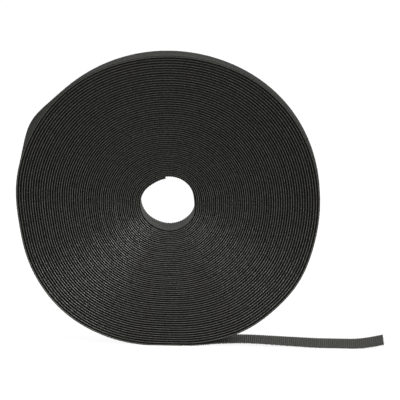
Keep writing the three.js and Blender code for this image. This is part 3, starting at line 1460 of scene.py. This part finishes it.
@dataclass
class Tail:
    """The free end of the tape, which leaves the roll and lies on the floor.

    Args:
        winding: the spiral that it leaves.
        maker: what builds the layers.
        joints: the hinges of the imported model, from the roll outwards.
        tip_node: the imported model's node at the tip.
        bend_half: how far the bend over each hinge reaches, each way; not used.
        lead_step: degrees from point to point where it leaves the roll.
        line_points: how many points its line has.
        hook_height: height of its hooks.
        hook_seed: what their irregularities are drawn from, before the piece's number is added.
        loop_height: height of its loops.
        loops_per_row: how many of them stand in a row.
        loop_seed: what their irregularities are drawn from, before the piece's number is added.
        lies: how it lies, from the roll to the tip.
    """

    winding: Winding
    maker: Maker
    joints: list[dict]
    tip_node: str = "tail_6"
    bend_half: float = 7.0 * MM
    lead_step: float = 0.25
    line_points: int = 400
    hook_height: float = 0.4 * MM
    hook_seed: int = 20
    loop_height: float = 0.55 * MM
    loops_per_row: int = 36
    loop_seed: int = 40
    lies: tuple[Lie, ...] = (
        Lie(21.0 * MM, 0.1 * MM, 0.0),
        Lie(42.0 * MM, 0.55 * MM, 0.0),
        Lie(63.0 * MM, 0.4 * MM, 0.5),
        Lie(84.0 * MM, 0.48 * MM, 0.0),
        Lie(105.0 * MM, 0.7 * MM, -1.0),
        Lie(126.0 * MM, 0.48 * MM, -2.0),
        Lie(147.0 * MM, 0.45 * MM, -2.2),
        Lie(175.0 * MM, -0.1 * MM, -3.5),
    )

    def knots(self) -> np.ndarray:
        """Places on the tape's middle: the hinges, the bend before the tip, and the tip.

        Returns:
            Their x and z, from the roll outwards.
        """
        hinges = [(j["pos_m"][0], j["pos_m"][2]) for j in self.joints]
        step = hinges[-1][0] - hinges[-2][0]
        _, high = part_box(self.tip_node)
        tip = (high.x, high.z - self.winding.tape.thickness / 2)
        return np.array([*hinges, (hinges[-1][0] + step, hinges[-1][1]), tip])

    def slopes(self, knots: np.ndarray, start: float) -> np.ndarray:
        """Slopes at the knots that never overshoot them, so that the tape doesn't dip into the floor.

        Args:
            knots: places as x and z.
            start: the slope at the first of them.

        Returns:
            One slope for each knot.
        """
        secant = np.diff(knots[:, 1]) / np.diff(knots[:, 0])
        slopes = np.zeros(len(knots))
        slopes[0] = start
        for i in range(1, len(knots) - 1):
            # Level at a crest or a trough, and elsewhere the harmonic mean of the slopes on both sides.
            if secant[i - 1] * secant[i] > 0:
                slopes[i] = 2.0 / (1.0 / secant[i - 1] + 1.0 / secant[i])
        # The tip itself isn't bent.
        slopes[-1] = 1.5 * secant[-1] - 0.5 * slopes[-2]
        return slopes

    def line(self, before: TapePath) -> TapePath:
        """The middle of the web from the roll to the tip.

        Args:
            before: the last of the roll's own line, which the tail goes on from.

        Returns:
            The line, with its distances counted on from the roll's.
        """
        knots = self.knots()
        way = before.points[-1] - before.points[-2]
        slopes = self.slopes(knots, way[2] / way[0])
        x = np.linspace(knots[0, 0], knots[-1, 0], self.line_points)
        span = np.clip(np.searchsorted(knots[:, 0], x, side="right") - 1, 0, len(knots) - 2)
        width = np.diff(knots[:, 0])[span]
        t = (x - knots[span, 0]) / width
        # A cubic from knot to knot that has the given heights and slopes at both.
        z = (
            knots[span, 1] * (1 + 2 * t) * (1 - t) ** 2
            + slopes[span] * width * t * (1 - t) ** 2
            + knots[span + 1, 1] * t**2 * (3 - 2 * t)
            + slopes[span + 1] * width * t**2 * (t - 1)
        )
        rise = np.gradient(z, x)
        outward = np.stack([rise, np.zeros_like(x), -np.ones_like(x)], axis=1)
        outward /= np.linalg.norm(outward, axis=1, keepdims=True)
        points = np.stack([x, np.zeros_like(x), z], axis=1)
        sink = self.winding.tape.web_depth - self.winding.tape.thickness / 2
        places = [lie.along for lie in self.lies]
        lift = np.interp(x, places, [lie.lift for lie in self.lies])
        points += outward * (sink - lift)[:, None]
        along = np.concatenate([[0.0], np.cumsum(np.linalg.norm(np.diff(points, axis=0), axis=1))])
        twist = np.interp(x, places, [math.radians(lie.twist) for lie in self.lies])
        lean = np.tan(twist) * self.winding.tape.width / 2
        level = np.zeros_like(x)
        return TapePath(points, outward, along + before.along[-1], -lean, lean, level, level + 1.0)

    def build(self, outermost: TapePath) -> None:
        """Builds the tail, one piece over each hinge.

        Args:
            outermost: the line of the roll's outermost turn.
        """
        w = self.winding
        lead = w.path(w.end - w.lead, w.end, w.tape.web_depth, self.lead_step)
        lead.along += outermost.along[-1]
        whole = lead.joined(self.line(lead))
        hinges = [np.interp(k[0], whole.points[:, 0], whole.along) for k in self.knots()[: len(self.joints)]]
        middles = [(a + b) / 2 for a, b in zip(hinges, hinges[1:])]
        starts = [whole.along[0], *middles]
        stops = [*middles, whole.along[-1]]
        for number, (joint, start, stop) in enumerate(zip(self.joints, starts, stops), 1):
            path = whole.part(start, stop, w.tape.rib_step)
            web = self.maker.web(f"tail_{number}_web", path, self.maker.finishes.hook_web, True)
            hooks = self.maker.hooks(f"tail_{number}_hooks", path, self.hook_height, self.hook_seed + number)
            loops = self.maker.loops(
                f"tail_{number}_loops", path, self.loop_height, self.loops_per_row, self.loop_seed + number
            )
            for piece in (web, hooks, loops):
                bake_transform(piece)
            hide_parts(f"tail_{number}")
            flat = (w.tape.width, path.length)


@dataclass(frozen=True)
class Lamp:
    """A square soft light.

    Args:
        name: what it is called.
        power: its power in watts.
        size: length of its side.
        place: where it stands.
    """

    name: str
    power: float
    size: float
    place: tuple[float, float, float]

    def build(self, target: Vector) -> None:
        """Sets it up.

        Args:
            target: the place that it is turned to.
        """
        light = bpy.data.lights.new(self.name, "AREA")
        light.energy = self.power
        light.size = self.size
        made = bpy.data.objects.new(self.name, light)
        made.location = self.place
        made.rotation_mode = "QUATERNION"
        made.rotation_quaternion = (target - made.location).to_track_quat("-Z", "Y")
        bpy.context.scene.collection.objects.link(made)


@dataclass
class Studio:
    """The floor, the light and the camera, set as the photograph has them.

    Args:
        axis_height: height of the roll's axis over the floor.
        front: where the roll's front face is, along Y.
        distance: how far from the middle of that face the camera stands, before it is moved aside.
        elevation: degrees that it stands above that middle.
        aside: how far to the right it is moved.
        aim_aside: how far to the right of that middle it looks.
        aim_up: how far above that middle it looks.
        tilt: degrees that it is turned about its own axis.
        lens: its focal length in millimetres.
        sensor: width of its sensor in millimetres.
        far: how far it sees.
        room_light: light of the surroundings, apart from the backdrop.
        backdrop_light: light of the backdrop behind the object.
        floor_half: half the floor's side.
        bounce: how much light the floor throws on the object.
        floor_glow: how white the floor shows in full shadow.
        floor_shade: how much the light that falls on it adds to that.
        lamps: the soft lights.
    """

    axis_height: float
    front: float
    distance: float = 3.0
    elevation: float = 17.99
    aside: float = 62.7 * MM
    aim_aside: float = 25.66 * MM
    aim_up: float = 4.19 * MM
    tilt: float = 0.797
    lens: float = 338.4
    sensor: float = 36.0
    far: float = 100.0
    room_light: float = 0.27
    backdrop_light: float = 0.57
    floor_half: float = 6.0
    bounce: float = 0.2
    floor_glow: float = 0.92
    floor_shade: float = 0.12
    lamps: tuple[Lamp, ...] = (
        Lamp("key", 112.0, 2.1, (2.1, -0.6, 1.4)),
        Lamp("fill", 53.0, 2.1, (-2.25, -0.65, 1.12)),
    )

    def build(self) -> None:
        """Sets everything up."""
        view = bpy.context.scene.view_settings
        view.view_transform = "Standard"
        self.world()
        self.floor()
        for lamp in self.lamps:
            lamp.build(Vector((0.0, 0.0, self.axis_height)))
        self.camera()

    def seen(self, graph: ShaderGraph) -> Socket:
        """Which rays show the background: those from the camera, or by way of a reflection or glass.

        Args:
            graph: the tree that asks.

        Returns:
            1 for such a ray, 0 for any other.
        """
        path = graph.add("ShaderNodeLightPath").outputs
        either = graph.math("MAXIMUM", path["Is Camera Ray"], path["Is Glossy Ray"])
        return graph.math("MAXIMUM", either, path["Is Transmission Ray"])

    def world(self) -> None:
        """White surroundings, which light the object less than they show, and most from behind it."""
        world = bpy.data.worlds.new("white room")
        bpy.context.scene.world = world
        world.use_nodes = True
        world.node_tree.nodes.clear()
        graph = ShaderGraph(world.node_tree)
        ray = graph.add("ShaderNodeTexCoord").outputs["Generated"]
        behind = graph.add("ShaderNodeSeparateXYZ", {0: ray}).outputs["Y"]
        light = graph.spread(behind, self.room_light, self.backdrop_light)
        strength = graph.math("MAXIMUM", self.seen(graph), light)
        back = graph.add("ShaderNodeBackground", {"Color": WHITE, "Strength": strength})
        graph.add("ShaderNodeOutputWorld", {"Surface": back.outputs[0]})

    def floor(self) -> None:
        """A plain white floor, which keeps a faint shadow."""
        mesh = bpy.data.meshes.new("floor")
        half = self.floor_half
        corners = [(-half, -half, 0.0), (half, -half, 0.0), (half, half, 0.0), (-half, half, 0.0)]
        mesh.from_pydata(corners, [], [(0, 1, 2, 3)])
        floor = bpy.data.objects.new("floor", mesh)
        bpy.context.scene.collection.objects.link(floor)
        material = bpy.data.materials.new("white floor")
        graph = ShaderGraph.of(material)
        plain = graph.add("ShaderNodeBsdfDiffuse", {"Color": grey(self.bounce)}).outputs[0]
        dim = graph.add("ShaderNodeBsdfDiffuse", {"Color": grey(self.floor_shade)}).outputs[0]
        glow = graph.add("ShaderNodeEmission", {"Color": WHITE, "Strength": self.floor_glow}).outputs[0]
        shown = graph.add("ShaderNodeAddShader", {0: dim, 1: glow}).outputs[0]
        both = graph.add("ShaderNodeMixShader", {0: self.seen(graph), 1: plain, 2: shown}).outputs[0]
        graph.end(both)
        mesh.materials.append(material)

    def camera(self) -> None:
        """The camera at the photograph's angle, with its slight tilt."""
        rise = math.radians(self.elevation)
        centre = Vector((0.0, self.front, self.axis_height))
        eye = centre + Vector((self.aside, -self.distance * math.cos(rise), self.distance * math.sin(rise)))
        ahead = (centre + Vector((self.aim_aside, 0.0, self.aim_up)) - eye).normalized()
        level = ahead.cross(Vector((0.0, 0.0, 1.0))).normalized()
        upright = level.cross(ahead)
        tilt = math.radians(self.tilt)
        right = math.cos(tilt) * level + math.sin(tilt) * upright
        up = math.cos(tilt) * upright - math.sin(tilt) * level
        data = bpy.data.cameras.new("camera")
        data.lens = self.lens
        data.sensor_width = self.sensor
        data.clip_end = self.far
        made = bpy.data.objects.new("camera", data)
        made.matrix_world = Matrix.Translation(eye) @ Matrix((right, up, -ahead)).transposed().to_4x4()
        bpy.context.scene.collection.objects.link(made)
        bpy.context.scene.camera = made


def main() -> None:
    """Builds the roll, its tail and the studio."""
    logging.basicConfig(level=logging.INFO, format="%(name)s: %(message)s")
    winding = Winding()
    maker = Maker(winding.tape, Finishes())
    Studio(winding.axis_height, -winding.tape.width / 2).build()
    outermost = Roll(winding, maker).build()
    Tail(winding, maker, frame["joints"]).build(outermost)


if __name__ == "__main__":
    main()
